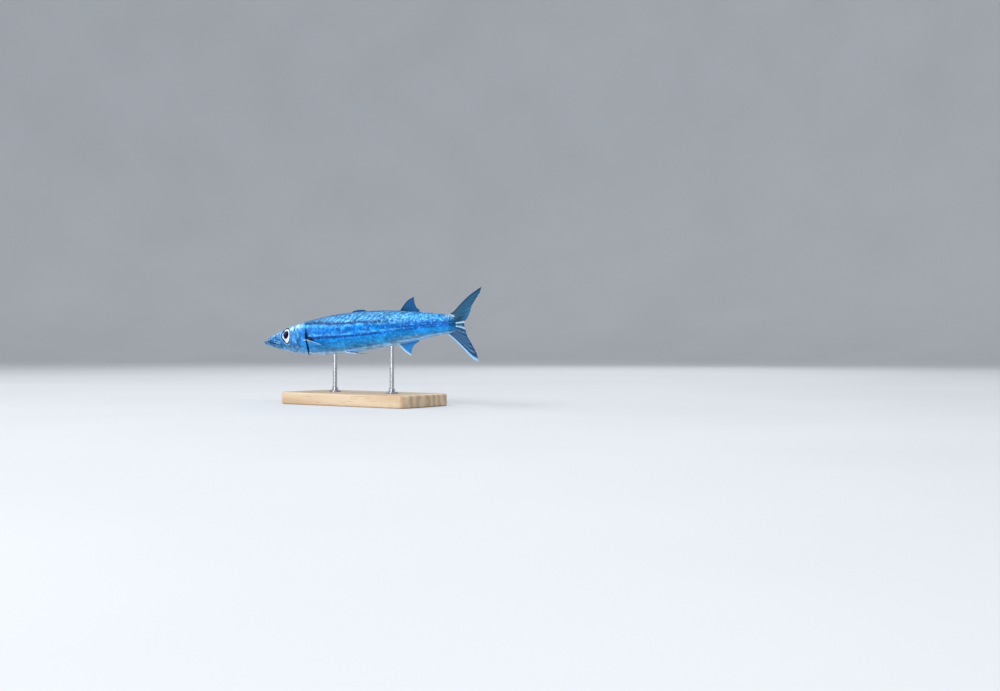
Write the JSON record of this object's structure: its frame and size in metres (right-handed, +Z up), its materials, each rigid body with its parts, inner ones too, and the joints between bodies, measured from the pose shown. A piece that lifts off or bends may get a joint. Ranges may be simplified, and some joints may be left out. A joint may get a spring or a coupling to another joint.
{
  "type": "barracuda model on a display stand",
  "caption": "Life-size still model of a young slender silver barracuda with a forked tail, held over a plain wooden plate by steel rods.",
  "frame": {"origin": "middle of the underside of the wooden plate, where the model stands", "axes": "+X from the snout toward the tail, +Y toward the fish's right side, +Z up"},
  "size_m": [0.3602, 0.084, 0.129],
  "materials": {
    "skin": "silver scales with a wet shine",
    "gill_cover": "smooth silver skin over bone",
    "eye": "clear glossy dome over a silver iris",
    "fin": "thin dusky membrane with raised rays",
    "tail_fin": "thin olive grey membrane with raised rays",
    "wood": "pale ash wood, lightly oiled",
    "steel": "brushed steel"
  },
  "bodies": {
    "root": {"head": "skin", "lower_jaw": "skin", "gill_cover_left": "gill_cover", "gill_cover_right": "gill_cover", "eye_left": "eye", "eye_right": "eye", "trunk": "skin", "tail_stalk": "skin", "first_dorsal_fin": "fin", "second_dorsal_fin": "fin", "anal_fin": "fin", "tail_fin_upper": "tail_fin", "tail_fin_lower": "tail_fin", "pectoral_fin_left": "fin", "pectoral_fin_right": "fin", "pelvic_fin_left": "fin", "pelvic_fin_right": "fin", "stand_base": "wood", "stand_rod_front": "steel", "stand_rod_rear": "steel"}
  },
  "joints": []
}
